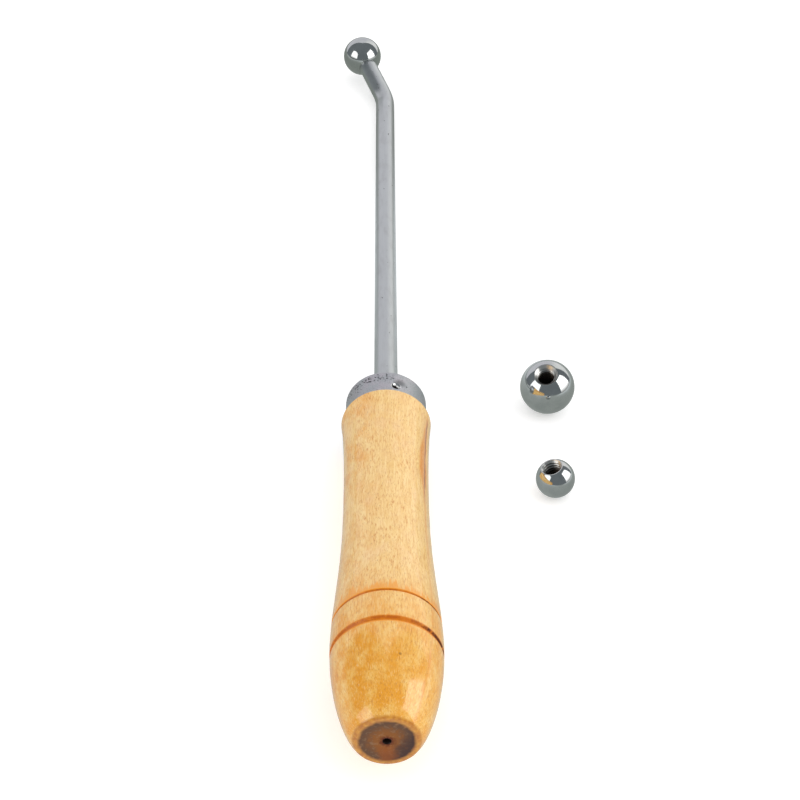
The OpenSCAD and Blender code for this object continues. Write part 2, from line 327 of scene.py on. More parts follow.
def steel_rod(finish):
    """The rod: rings of its radius along the axis, round the bend's arc and along the tip, then the stud. A
    ring stands square to the line it is on. On the stud the radius follows the thread, a small gap inside
    the hole's."""
    columns = 96
    angle = np.linspace(0, TURN, columns, endpoint=False)
    tangent = BEND_RADIUS * math.tan(BEND_ANGLE / 2)
    bend_start = ROD_REACH - tangent
    arc_length = BEND_RADIUS * BEND_ANGLE
    straight = TIP_LENGTH - TIP_SEAT - tangent
    shoulder = bend_start + arc_length + straight
    chamfer = THREAD_R - BORE_R
    edge = 0.08 * MM
    body_line = steps_between(
        [-TANG_LENGTH + TANG_POINT, 0, bend_start, bend_start + arc_length, shoulder - edge],
        [4 * MM, 2 * MM, 0.4 * MM, 1 * MM])
    neck = round_corners([
        (ROD_R, shoulder - 3 * edge, 0),
        (ROD_R, shoulder, edge),
        (BORE_R - THREAD_GAP, shoulder, 0)], 3)[2:]
    stud_depth = np.arange(0, STUD_LENGTH, THREAD_STEP)[1:]
    line = np.concatenate([
        [-TANG_LENGTH], body_line, neck[:, 1], shoulder + stud_depth, [shoulder + STUD_LENGTH]])
    plain = np.concatenate([[ROD_R / 2], np.full(len(body_line), ROD_R), neck[:, 0]])
    run_in = ramp(stud_depth, 0.1 * THREAD_PITCH, THREAD_PITCH)
    run_out = np.clip((STUD_LENGTH - stud_depth) / chamfer, 0, 1)
    stud_r = BORE_R - THREAD_GAP + (THREAD_R - BORE_R) * (run_in * run_out)[:, None] * thread_wave(
        stud_depth[:, None], angle)
    radius = np.concatenate([plain[:, None] + 0 * angle, stud_r, np.full((1, columns), BORE_R - chamfer)])
    turned = np.clip((line - bend_start) / BEND_RADIUS, 0, BEND_ANGLE)
    past = np.maximum(line - bend_start - arc_length, 0)
    along = np.minimum(line, bend_start) + BEND_RADIUS * np.sin(turned) + past * math.cos(BEND_ANGLE)
    aside = BEND_RADIUS * (1 - np.cos(turned)) + past * math.sin(BEND_ANGLE)
    turned, along, aside = turned[:, None], along[:, None], aside[:, None]
    out = radius * np.cos(angle)
    rings = rod.at(aside + out * np.cos(turned), radius * np.sin(angle), along - out * np.sin(turned))
    start = rod.at(0, 0, -TANG_LENGTH)
    end = tip.at(0, 0, STUD_LENGTH - TIP_SEAT)
    lathe("drawn_rod", rings, start, end, finish, "tool", "steel_rod", "drawn_steel")


# ------------------------------------------------------------------------------
# The handle
# ------------------------------------------------------------------------------


def curve(a, pull_a, pull_b, b):
    """A cubic curve from a to b that leaves towards pull_a and arrives from pull_b."""
    t = np.linspace(0, 1, 200)[:, None]
    return (1 - t)**3 * a + 3 * t * (1 - t)**2 * pull_a + 3 * t * t * (1 - t) * pull_b + t**3 * b


def handle_curve():
    """The handle's radius against the distance behind its shoulder: three cubic curves, shoulder to waist,
    waist to belly and belly to butt, which run level at the waist and the belly."""
    shoulder, waist = np.array([0, SHOULDER_R]), np.array([WAIST_AT, WAIST_R])
    belly, butt = np.array([BELLY_AT, BELLY_R]), np.array([HANDLE_LENGTH, BUTT_R])
    neck, swell, tail = WAIST_AT, BELLY_AT - WAIST_AT, HANDLE_LENGTH - BELLY_AT
    return np.concatenate([
        curve(shoulder, shoulder + [0.28 * neck, 0.72 * (WAIST_R - SHOULDER_R)],
              waist - [0.36 * neck, 0], waist),
        curve(waist, waist + [0.49 * swell, 0], belly - [0.27 * swell, 0], belly)[1:],
        curve(belly, belly + [0.32 * tail, 0],
              butt + [-0.21 * tail, 0.71 * (BELLY_R - BUTT_R)], butt)[1:]])


def groove_depth(distance, angle, groove, seed):
    """How deep a groove is at a place: a V with softened lips. Its middle, width and depth wander a little
    round the handle."""
    middle, width, depth = groove
    wander = uneven(angle, 0, seed, 1)
    x = np.abs(distance - middle - 0.05 * MM * wander) / (width * (0.5 + 0.05 * wander))
    v = np.clip(1 - x, 0, 1)
    return depth * (1 + 0.12 * wander) * (0.55 * v + 0.45 * v * v * (3 - 2 * v))


def scar_depth(distance, angle):
    """A shallow lengthwise scar on the right of the neck, a narrow dish that leans towards the top."""
    across = (angle - SCAR_ANGLE - SCAR_LEAN * distance / MM) * SHOULDER_R
    run = ramp(distance, 2 * MM, 10 * MM) * (1 - ramp(distance, 24 * MM, 38 * MM))
    return SCAR_DEPTH * run * np.exp(-(across / SCAR_SPREAD)**2)


def wood_handle(finish):
    """The turned handle: its outline carried round the axis, with grooves, the scar and a hand-sanded
    unevenness taken off the radius. From the tang's hole it goes over the spigot and the shoulder, along
    the handle's curve and across the butt into the centre's mark."""
    columns = 192
    angle = np.linspace(0, TURN, columns, endpoint=False)
    outline = handle_curve()
    inside = np.array([
        [0.5 * ROD_R, TANG_LENGTH],
        [ROD_R, TANG_LENGTH - TANG_POINT],
        [ROD_R, FERRULE_WALL + 1 * MM],
        [ROD_R, FERRULE_WALL],
        [SPIGOT_R - 0.2 * MM, FERRULE_WALL],
        [SPIGOT_R, FERRULE_WALL + 0.2 * MM],
        [SPIGOT_R, FERRULE_LENGTH]])
    front_edge = round_corners([
        (SHOULDER_R - 1 * MM, 0, 0),
        (SHOULDER_R, 0, WOOD_EDGE),
        (np.interp(2 * MM, *outline.T), 2 * MM, 0)], 8)[:-1]
    distance = steps_between(
        [1 * MM, NARROW_GROOVE[0] - 1 * MM, NARROW_GROOVE[0] + 1 * MM, WIDE_GROOVE[0] - 1 * MM,
         WIDE_GROOVE[0] + 1 * MM, HANDLE_LENGTH - 3 * WOOD_EDGE],
        [0.55 * MM, 0.06 * MM, 0.5 * MM, 0.07 * MM, 0.5 * MM])
    side = np.stack([np.interp(distance, *outline.T), distance], -1)
    back_edge = round_corners([
        (*side[-1], 0),
        (BUTT_R, HANDLE_LENGTH, 2 * WOOD_EDGE),
        (BUTT_R - 1.6 * MM, HANDLE_LENGTH, 0)], 8)[1:]
    face_r = np.array([0.68, 0.6, 0.5, 0.4, 0.3, 0.22]) * BUTT_R
    face = np.stack([face_r, np.full(6, HANDLE_LENGTH)], -1)
    mark = round_corners([
        (*face[-1], 0),
        (CENTRE_MARK_R, HANDLE_LENGTH, 0.12 * MM),
        (0.1 * MM, HANDLE_LENGTH - 0.9 * CENTRE_MARK_DEPTH, 0)], 4)[1:]
    outside = np.concatenate([front_edge, side, back_edge, face, mark])
    radius, behind = outside[:, :1] + 0 * angle, outside[:, 1:]
    on_side = np.zeros(len(outside), bool)
    on_side[len(front_edge):len(front_edge) + len(side)] = True
    # The sanding fades out towards the shoulder's face and the butt's, so that they stay where they are.
    sanded = 0.05 * MM * (uneven(angle, behind, 3, 45 * MM) - 1)
    sanded = sanded + 0.02 * MM * (uneven(angle * 2, behind, 4, 9 * MM) - 1)
    cut = groove_depth(behind, angle, NARROW_GROOVE, 5) + groove_depth(behind, angle, WIDE_GROOVE, 6)
    fade = ramp(behind, 1 * MM, 4 * MM) * (1 - ramp(behind, HANDLE_LENGTH - 6 * MM, HANDLE_LENGTH - 1 * MM))
    radius = radius - on_side[:, None] * (cut + scar_depth(behind, angle) - sanded * fade)
    # The butt was parted off by hand: its face dips and ripples slightly towards the mark.
    on_face = ramp(-radius, -(BUTT_R - 0.8 * MM), -0.5 * BUTT_R) * (behind > HANDLE_LENGTH - 0.01 * MM)
    dip = 0.05 * MM * (1 - uneven(angle, radius, 8, 5 * MM))
    ripple = 0.02 * MM * (1 - np.cos(radius * TURN / (0.9 * MM)))
    depth = behind - on_face * (dip + ripple)
    inner_r = inside[:, :1] + 0 * angle
    inner_at = np.concatenate([inside[:, 1:] + 0 * angle, FERRULE_LENGTH + depth])
    across = np.concatenate([inner_r, radius])
    rings = tool.at(across * np.cos(angle), -across * np.sin(angle), -inner_at)
    start = tool.at(0, 0, -TANG_LENGTH)
    end = tool.at(0, 0, -(FERRULE_LENGTH + HANDLE_LENGTH - CENTRE_MARK_DEPTH))
    lathe("turned_handle", rings, start, end, finish, "tool", "wood_handle", "lacquered_wood")


# ------------------------------------------------------------------------------
# The ferrule and its pin
# ------------------------------------------------------------------------------

PIN_ANGLE = PIN_TURN - math.pi / 2
PIN_AT = PIN_SETBACK - FERRULE_LENGTH
pin_outwards = math.cos(PIN_ANGLE) * tool.x + math.sin(PIN_ANGLE) * tool.y
pin_place = Axes(tool.origin + PIN_AT * tool.z + SPIGOT_R * pin_outwards, tool.z, pin_outwards)
PATCH = 2.4 * MM        # half the side of the finer patch of the ferrule's grid, which holds the dimple
PATCH_STEP = 0.1 * MM
HOLE_CELLS = 0.5 * MM   # half the side of the square of cells left out for the pin's hole


def round_the_hole(u, w):
    """Moves the patch's points so that the square left out of it becomes the pin's round hole. A point on
    the square goes in or out to the circle, one on the patch's edge stays, and those between go a share of
    the way."""
    square = np.maximum(np.abs(u), np.abs(w))
    share = np.clip((square - HOLE_CELLS) / (PATCH - HOLE_CELLS), 0, 1)
    across = np.maximum(np.hypot(u, w), 1e-9)
    scale = (1 - share) * np.maximum(square, HOLE_CELLS) / across * PIN_R / HOLE_CELLS + share
    scale = np.where(square < PATCH, scale, 1)
    return u * scale, w * scale


def dimple_depth(u, w):
    """How far the punch pushed the side in, at u round and w along from the pin: a cone with an eased lip,
    in a wider and shallower dish that leans forwards."""
    cone = np.clip((DIMPLE_R - np.hypot(u, w)) / (DIMPLE_R - PIN_R), 0, 1)
    dish = np.exp(-((u - 0.35 * MM) / (1.3 * MM))**2 - ((w - 0.5 * MM) / (1.4 * MM))**2)
    return DIMPLE_DEPTH * cone**1.2 + DISH_DEPTH * dish


def ferrule(finish):
    """The drawn cup: its wall's section carried round the axis, out along the side, over the rim, in across
    the face to the rod's hole, and back along the inside. The side is dimpled, and both skins are left open
    in the same square of cells, and are joined there round the pin's hole."""
    fine = PATCH / FERRULE_R
    angle = steps_between([PIN_ANGLE - fine, PIN_ANGLE + fine, PIN_ANGLE - fine + TURN],
                          [PATCH_STEP / FERRULE_R, 0.5 * MM / FERRULE_R])[:-1]
    columns = len(angle)
    back, edge = -FERRULE_LENGTH, 0.12 * MM
    corner = FERRULE_ROUND
    side = steps_between(
        [back + edge, PIN_AT - PATCH, PIN_AT + PATCH, -corner - 0.3 * MM],
        [0.3 * MM, PATCH_STEP, 0.4 * MM])
    rim = round_corners([
        (FERRULE_R, side[-1], 0), (FERRULE_R, 0, corner), (ROD_R + 2 * edge, 0, 0)], 10)[1:]
    rim_inside = round_corners([
        (ROD_R + 2 * edge, 0, 0), (ROD_R + ROD_GAP, 0, edge), (ROD_R + ROD_GAP, -FERRULE_WALL, 0),
        (SPIGOT_R, -FERRULE_WALL, 2 * edge), (SPIGOT_R, side[-1], 0)], 4)[1:-1]
    outer = np.stack([np.full(len(side), FERRULE_R), side], -1)
    inner = np.stack([np.full(len(side), SPIGOT_R), side[::-1]], -1)
    back_rim = round_corners([
        (*inner[-1], 0), (SPIGOT_R, back, edge / 2), (FERRULE_R, back, edge / 2), (*outer[0], 0)], 3)[1:-1]
    section = np.concatenate([outer, rim, rim_inside, inner, back_rim])
    rows, walls = len(section), len(side)
    inner_first = walls + len(rim) + len(rim_inside)

    along, turned = section[:, 1:] + 0 * angle, angle + 0 * section[:, 1:]
    u, w = (turned - PIN_ANGLE) * FERRULE_R, along - PIN_AT
    on_wall = np.zeros((rows, 1), bool)
    on_wall[:walls] = on_wall[inner_first:inner_first + walls] = True
    round_u, round_w = round_the_hole(u, w)
    u, w = np.where(on_wall, round_u, u), np.where(on_wall, round_w, w)
    radius = section[:, :1] - np.where(np.arange(rows)[:, None] < walls, dimple_depth(u, w), 0)
    turned, along = PIN_ANGLE + u / FERRULE_R, PIN_AT + w
    points = tool.at(radius * np.cos(turned), radius * np.sin(turned), along).reshape(-1, 3)

    quads = round_grid(rows, columns, closed=True)
    tiny = 0.01 * MM
    left_open = ((np.abs(angle - PIN_ANGLE) * FERRULE_R < HOLE_CELLS + tiny)
                 & (np.abs(side - PIN_AT) < HOLE_CELLS + tiny)[:, None])
    open_rows, open_columns = (np.nonzero(left_open.any(axis))[0] for axis in (1, 0))
    low, high, first, last = open_rows[0], open_rows[-1], open_columns[0], open_columns[-1]
    row, column = quads[:, 0] // columns, quads[:, 0] % columns
    back_row = inner_first + walls - 1 - row    # the inner wall runs backwards
    inside_square = (((row >= low) & (row < high)) | ((back_row > low) & (back_row <= high)))
    inside_square &= (column >= first) & (column < last)
    round_square = [(low, j) for j in range(first, last)] + [(i, last) for i in range(low, high)]
    round_square += [(high, j) for j in range(last, first, -1)] + [(i, first) for i in range(high, low, -1)]
    i, j = np.array(round_square).T
    outer_edge = i * columns + j
    inner_edge = (inner_first + walls - 1 - i) * columns + j
    joined = np.stack([outer_edge, np.roll(outer_edge, -1), np.roll(inner_edge, -1), inner_edge], -1)
    quads = np.concatenate([quads[~inside_square], joined])
    used, quads = np.unique(quads, return_inverse=True)
    make_piece("punched_ferrule", points[used], quads.reshape(-1, 4), np.empty((0, 3), int), finish,
               "tool", "ferrule", "zinc_steel")


def ferrule_pin(finish):
    """The brad in the dimple: a domed head with a hammered flat, over a cone that beds in the dimple and a
    plain shank. Rings go from the shank's inner end outwards."""
    columns = 64
    angle = np.linspace(0, TURN, columns, endpoint=False)
    dome_r = (PIN_HEAD_R**2 + PIN_DOME**2) / (2 * PIN_DOME)
    half = math.asin(PIN_HEAD_R / dome_r)
    slope = np.linspace(half * 0.93, 0, 14)[:-1]
    dome = np.stack([dome_r * np.sin(slope), PIN_BED + PIN_DOME - dome_r * (1 - np.cos(slope))], -1)
    shank = round_corners([
        (0, -PIN_LENGTH, 0), (PIN_R, -PIN_LENGTH, 0.2 * MM), (PIN_R, 0, 0), (PIN_HEAD_R, PIN_BED, 0.04 * MM),
        (*dome[0], 0)], 4)[1:-1]
    section = np.concatenate([shank, dome])
    across = section[:, :1] + 0 * angle
    flat_at = PIN_BED + 0.8 * PIN_DOME      # in the middle; the flat slopes
    up = np.minimum(section[:, 1:], flat_at + 0.25 * across * np.cos(angle - 1))
    rings = pin_place.at(across * np.cos(angle), across * np.sin(angle), up)
    start = pin_place.at(0, 0, -PIN_LENGTH)
    end = pin_place.at(0, 0, flat_at)
    lathe("domed_pin", rings, start, end, finish, "tool", "ferrule_pin", "pin_steel")


# ------------------------------------------------------------------------------
# Finishes
# ------------------------------------------------------------------------------


def tint(red, green, blue):
    """A colour as it looks on a screen, 0 to 255, as linear light."""
    parts = [c / 255 for c in (red, green, blue)]
    return (*[c / 12.92 if c <= 0.04045 else ((c + 0.055) / 1.055)**2.4 for c in parts], 1)


class Wire:
    """A number or colour in a material. Arithmetic on it adds Math nodes to the material."""

    def __init__(self, finish, socket):
        self.finish = finish
        self.socket = socket

    def __add__(self, other):
        return self.finish.calc("ADD", self, other)

    def __sub__(self, other):
        return self.finish.calc("SUBTRACT", self, other)

    def __rsub__(self, other):
        return self.finish.calc("SUBTRACT", other, self)

    def __mul__(self, other):
        return self.finish.calc("MULTIPLY", self, other)

    def __abs__(self):
        return self.finish.calc("ABSOLUTE", self)

    __radd__ = __add__
    __rmul__ = __mul__


class Finish:
    """A material being made: a Principled shader whose sockets are set or linked by name."""

    def __init__(self, name, **constants):
        self.material = bpy.data.materials.new(name)
        self.material.use_nodes = True
        self.tree = self.material.node_tree
        self.tree.nodes.clear()
        output = self.tree.nodes.new("ShaderNodeOutputMaterial")
        self.shader = self.tree.nodes.new("ShaderNodeBsdfPrincipled")
        self.tree.links.new(self.shader.outputs[0], output.inputs["Surface"])
        for socket, value in constants.items():
            self.set(socket.replace("_", " "), value)

    def put(self, socket, value):
        """Links a wire to a socket, or sets the socket to a plain value."""
        if isinstance(value, Wire):
            self.tree.links.new(value.socket, socket)
        else:
            socket.default_value = value

    def set(self, name, value):
        self.put(self.shader.inputs[name], value)

    def node(self, kind, settings=None, sockets=None, out=0):
        """Adds a node: its settings first, then its sockets by name or number. Returns one of its outputs as
        a wire."""
        made = self.tree.nodes.new(kind)
        for key, value in (settings or {}).items():
            setattr(made, key, value)
        for key, value in (sockets or {}).items():
            self.put(made.inputs[key], value)
        return Wire(self, made.outputs[out])

    def calc(self, operation, *values):
        return self.node("ShaderNodeMath", {"operation": operation}, dict(enumerate(values)))

    def far(self, *sides):
        """How far off a place is that lies this much each way: the root of the sum of the squares."""
        return self.calc("SQRT", sum(side * side for side in sides))

    def place(self, axes):
        """The surface's place in a piece's own frame, as three wires: the axes' x, y and z amounts in
        millimetres."""
        here = self.node("ShaderNodeTexCoord", out="Object")
        from_origin = self.node(
            "ShaderNodeVectorMath", {"operation": "SUBTRACT"}, {0: here, 1: axes.origin.tolist()})
        return [self.node(
            "ShaderNodeVectorMath", {"operation": "DOT_PRODUCT"},
            {0: from_origin, 1: (axis / MM).tolist()}, out="Value") for axis in (axes.x, axes.y, axes.z)]

    def vector(self, x, y, z):
        """Three numbers as the vector that noise is read at."""
        return self.node("ShaderNodeCombineXYZ", None, {"X": x, "Y": y, "Z": z})

    def noise(self, vector, scale=1, detail=2, roughness=0.5):
        """Cloudy noise, 0 to 1."""
        return self.node("ShaderNodeTexNoise", None, {
            "Vector": vector, "Scale": scale, "Detail": detail, "Roughness": roughness})

    def span(self, value, start, end, low=0, high=1):
        """Goes smoothly from low to high as the value goes from start to end."""
        return self.node("ShaderNodeMapRange", {"interpolation_type": "SMOOTHSTEP"}, {
            "Value": value, "From Min": start, "From Max": end, "To Min": low, "To Max": high})

    def blend(self, share, a, b):
        """Colour a, turned into colour b by a share."""
        return self.node("ShaderNodeMix", {"data_type": "RGBA"}, {"Factor": share, 6: a, 7: b}, out=2)

    def bump(self, height, distance, strength):
        self.set("Normal", self.node("ShaderNodeBump", None, {
            "Height": height, "Distance": distance, "Strength": strength}))


# Places in millimetres. On the wood: how far behind the shoulder the grooves and the butt are, the butt's
# radius, and how far right of the top and behind the shoulder the pin knot is. On the ferrule: how far
# ahead of the pin and to its left the middle of the patch of painted shade is.
NARROW_AT, WIDE_AT, END_AT = NARROW_GROOVE[0] / MM, WIDE_GROOVE[0] / MM, HANDLE_LENGTH / MM
BUTT_EDGE = BUTT_R / MM
KNOT = (2.7, 89.4)
PAINTED_SHADE_AT = (1.6, -0.9)


def lacquered_wood():
    """Pale, close-grained wood under a clear yellow lacquer. Fine flecks and streaks run with the axis,
    lacquer has soaked in as orange blotches, the grooves are scorched, the bare butt shows dark end grain,
    and the centre mark's hole is painted near black as shade."""
    f = Finish("lacquered_wood", Specular_IOR_Level=0.15, Coat_Roughness=0.1, Coat_IOR=1.8)
    x, y, z = f.place(tool)
    behind = -FERRULE_LENGTH / MM - z
    across = f.far(x, y)

    # Grain: the lengthwise coordinate is squeezed, and slow noise bends the lines.
    drift = f.noise(f.vector(x * 0.12, y * 0.12, behind * 0.05), detail=1) * 2.4
    gx, gy = x + drift, y - drift
    streak = f.noise(f.vector(gx * 1.7, gy * 1.7, behind * 0.09), detail=4, roughness=0.62)
    fleck = f.noise(f.vector(gx * 4.4, gy * 4.4, behind * 0.6), detail=2, roughness=0.6)
    pore = f.noise(f.vector(gx * 6.5, gy * 6.5, behind * 1.3), detail=1, roughness=0.4)
    cloud = f.noise(f.vector(x * 0.26 + 7, y * 0.26, behind * 0.13), detail=3, roughness=0.55)
    blotch = f.noise(f.vector(x * 0.26, y * 0.26 + 5, behind * 0.16), detail=5, roughness=0.72)

    colour = f.blend(f.span(streak, 0.3, 0.7), tint(234, 188, 106), tint(246, 210, 138))
    colour = f.blend(f.span(cloud, 0.48, 0.72) * 0.45, colour, tint(240, 197, 142))
    # More lacquer has soaked into the belly and the left of the neck.
    belly = f.span(behind, 60, 86)
    soak = belly * 0.75 + f.span(x, 0, -8) * f.span(behind, 45, 15, 0.4, 0.75) + 0.14
    colour = f.blend(belly * 0.65, colour, tint(236, 174, 54))
    colour = f.blend(f.span(blotch + streak * 0.15, 0.46, 0.72) * soak, colour, tint(229, 152, 4))
    colour = f.blend(f.span(blotch, 0.45, 0.3) * (belly * 0.6 + 0.2), colour, tint(240, 198, 124))

    # The scar on the right of the neck: orange, widest in its middle, with a dark line in it
    off_scar = f.calc("ARCTAN2", y, x) + behind * SCAR_LEAN + SCAR_ANGLE + (streak - 0.5) * 0.05
    reach = f.span(behind, 2, 20, 0.04, 0.16) * f.span(behind, 38, 22)
    inside = f.span(abs(off_scar + reach * 0.6) - reach + (fleck + streak - 1) * 0.16, 0.06, -0.06)
    colour = f.blend(inside * f.span(behind, 1, 4) * 0.8, colour, tint(224, 134, 28))
    line = f.span(abs(off_scar), 0.05, 0.01) * f.span(behind, 2, 6) * f.span(behind, 38, 28)
    colour = f.blend(line * f.span(fleck, 0.3, 0.6, 0.5, 0.9), colour, tint(146, 76, 22))

    # Flecks, dark and pale, and pores
    dark_flecks = f.span(fleck, 0.5, 0.7) * f.span(cloud, 0.35, 0.6, 0.9, 0.55)
    colour = f.blend(dark_flecks, colour, tint(206, 134, 46))
    colour = f.blend(f.span(fleck, 0.46, 0.3) * 0.35, colour, tint(252, 222, 160))
    colour = f.blend(f.span(pore, 0.64, 0.76) * 0.55, colour, tint(168, 100, 36))

    # The scorched grooves, each with a stain that spreads forwards unevenly
    ragged = f.noise(f.vector(x * 0.35, y * 0.35, 0), detail=3, roughness=0.7)
    spikes = ragged + (streak - 0.5) * 0.8
    for middle, half, run, dark in ((NARROW_AT, 0.35, 4.5, 0.75), (WIDE_AT, 0.9, 2.0, 0.85)):
        ahead = middle - behind
        reached = (spikes * 2 - 0.6) * run
        spread = f.span(ahead - reached, 0.8, -0.8) * f.span(ahead, -half - 0.15, -half + 0.1)
        colour = f.blend(spread * 0.85, colour, tint(236, 152, 0))
        burn = f.span(abs(ahead + (ragged - 0.5) * 0.3), half + 0.15, half * 0.5)
        colour = f.blend(burn * dark, colour, tint(218, 124, 2))
        core = f.span(abs(ahead - half * 0.45), half * 0.6, 0)
        colour = f.blend(core * f.span(spikes, 0.35, 0.6, 0.25, 0.7), colour, tint(170, 80, 6))
        colour = f.blend(core * f.span(x, 4, 9) * f.span(ragged, 0.35, 0.55), colour, tint(84, 40, 10))
    # The wide groove is the last, so its burn is still at hand.
    grooves = f.calc("MAXIMUM", burn, f.span(abs(NARROW_AT - behind), 0.6, 0.2))

    # A pin knot on top of the belly
    from_knot = f.far(x - KNOT[0], behind - KNOT[1])
    knot = f.span(from_knot + fleck * 0.2, 0.5, 0.3) * f.span(y, 1, -1)
    colour = f.blend(knot * 0.6, colour, tint(132, 84, 30))

    # The butt: an orange rim, and inside it the bare end grain, brown in the middle and darkest on the right,
    # and painted shade in the centre mark's hole
    in_mark = f.span(across, 1.3, 1.1) * f.span(behind, END_AT - 4, END_AT - 3)
    end = f.calc("MAXIMUM", f.span(behind, END_AT - 0.7, END_AT - 0.1), in_mark)
    wander = f.noise(f.vector(x * 0.4, y * 0.4, 3), detail=2, roughness=0.6)
    mottle = f.noise(f.vector(x * 0.9, y * 0.9, 9), detail=4, roughness=0.6)
    disc = f.span(across + (wander - 0.5) * 0.8 + (mottle - 0.5) * 0.8, BUTT_EDGE - 0.6, BUTT_EDGE - 1.5)
    rim = f.blend(f.span(mottle, 0.3, 0.7), tint(208, 144, 44), tint(176, 106, 26))
    outer = f.span(across + (mottle - 0.5) * 5, 2.0, 5.0)
    bare = f.blend(outer, tint(132, 80, 34), tint(96, 68, 50))
    bare = f.blend(f.span(mottle, 0.5, 0.7) * 0.4, bare, tint(160, 122, 86))
    right = f.span(x * 0.8 + y * 0.45 + (wander - 0.5) * 4, 0.8, 4.2)
    bare = f.blend(right * 0.85, bare, tint(66, 46, 44))
    low = f.span(y, 0.2, 2.6) * f.span(abs(x + (wander - 0.5) * 3), 2.6, 0.4)
    bare = f.blend(low * 0.7, bare, tint(140, 74, 26))
    bare = f.blend(f.span(across + (mottle - 0.5) * 2.4, 1.9, 0.8) * 0.85, bare, tint(88, 30, 12))
    # Painted shade: the inside of the centre mark's hole is painted near black.
    bare = f.blend(f.span(across, 1.05, 0.75), bare, tint(26, 11, 6))
    colour = f.blend(end, colour, f.blend(disc, rim, bare))
    f.set("Base Color", colour)

    # The lacquer is thin in the grooves and on the butt's bare wood.
    dull = f.calc("MAXIMUM", end * disc, grooves)
    f.set("Coat Weight", f.span(dull, 0, 1, 0.85, 0.15))
    f.set("Roughness", f.span(end * disc, 0, 1, 0.45, 0.75))
    grain = streak * 0.4 + fleck * 0.3 - f.span(pore, 0.62, 0.78) * 0.4 + end * mottle * 2
    f.bump(grain, 0.05 * MM, 0.5)
    return f.material


def drawn_steel():
    """Bright drawn bar: a satin grey with fine lengthwise drawing lines, a little dull and speckled."""
    f = Finish("drawn_steel", Metallic=1.0)
    x, y, z = f.place(tool)
    lines = f.noise(f.vector(x * 9, y * 9, z * 0.12), detail=3, roughness=0.6)
    smudge = f.noise(f.vector(x * 0.5, y * 0.5, z * 0.16), detail=3, roughness=0.6)
    speck = f.noise(f.vector(x * 1.6, y * 1.6, z * 0.9), detail=1, roughness=0.3)
    colour = f.blend(lines, tint(192, 195, 196), tint(212, 215, 214))
    colour = f.blend(f.span(smudge, 0.45, 0.75) * 0.35, colour, tint(176, 176, 176))
    colour = f.blend(f.span(speck, 0.74, 0.8) * 0.8, colour, tint(88, 88, 86))
    f.set("Base Color", colour)
    f.set("Roughness", 0.22 + smudge * 0.12 + lines * 0.06)
    f.bump(lines + smudge * 0.6 - f.span(speck, 0.7, 0.8), 0.02 * MM, 0.4)
    return f.material


def zinc_steel():
    """Dull galvanised sheet: grey, faintly purple in patches, with strings of small dark pits. The dimple is
    worn bright inside, with painted shadow beside the pin's head, and a patch of painted shade ahead of
    it and to the right."""
    f = Finish("zinc_steel", Metallic=1.0)
    x, y, z = f.place(tool)
    ahead, left, _ = f.place(pin_place)
    from_pin = f.far(ahead, left)
    patch = f.noise(f.vector(x * 0.35, y * 0.35, z * 0.35), detail=3, roughness=0.6)
    grit = f.noise(f.vector(x * 3.2, y * 3.2, z * 3.2), detail=2, roughness=0.7)
    pit = f.noise(f.vector(x * 1.7, y * 1.7, z * 2.2), detail=2, roughness=0.55)
    string = f.span(abs(z + 2.2 + patch), 2.2, 0.4) * f.span(x, 5, -1)
    pits = f.span(pit + string * 0.12, 0.66, 0.72)
    colour = f.blend(f.span(patch, 0.35, 0.65), tint(196, 200, 202), tint(208, 204, 208))
    colour = f.blend(f.span(grit, 0.4, 0.7) * 0.5, colour, tint(160, 161, 163))
    colour = f.blend(pits * 0.9, colour, tint(56, 52, 58))
    # Painted shade: a dark patch ahead of the dimple and to its right.
    from_painted_shade = f.far(ahead - PAINTED_SHADE_AT[0], left - PAINTED_SHADE_AT[1])
    colour = f.blend(f.span(from_painted_shade + patch, 2.6, 0.9) * 0.65, colour, tint(96, 96, 98))
    worn = f.span(from_pin, 1.4, 1.15)
    colour = f.blend(worn, colour, tint(238, 238, 236))
    # Painted shadow: near black in the dimple beside the pin's head, on the side towards the wood.
    painted_shade = f.span(from_pin, 1.25, 1.05) * f.span(ahead * 0.8 - left * 0.4 + (grit - 0.5), 0.35, 0.0)
    colour = f.blend(painted_shade * 0.95, colour, tint(26, 22, 20))
    f.set("Base Color", colour)
    f.set("Roughness", 0.4 + (grit - 0.5) * 0.2 + pits * 0.3 - worn * 0.22)
    f.bump(grit * 0.5 - pits * 1.5, 0.05 * MM, 0.6)
    return f.material


def pin_steel():
    """The pin's head, worn bright by the punch, with a few dark scratches, and painted shade on the side by
    the wood."""
    f = Finish("pin_steel", Metallic=1.0)
    ahead, left, out = f.place(pin_place)
    scratch = f.noise(f.vector(ahead * 3, left * 3, out * 3), detail=2, roughness=0.6)
    colour = f.blend(f.span(scratch, 0.55, 0.7) * 0.5, tint(236, 236, 234), tint(120, 116, 112))
    # Painted shade: the head's side towards the wood and the left is painted near black.
    painted_shade = f.span(ahead - left * 0.5 + (scratch - 0.5), 0.15, -0.15)
    f.set("Base Color", f.blend(painted_shade, colour, tint(30, 25, 22)))
    f.set("Roughness", 0.16 + scratch * 0.15)
    f.bump(scratch, 0.03 * MM, 0.5)
    return f.material


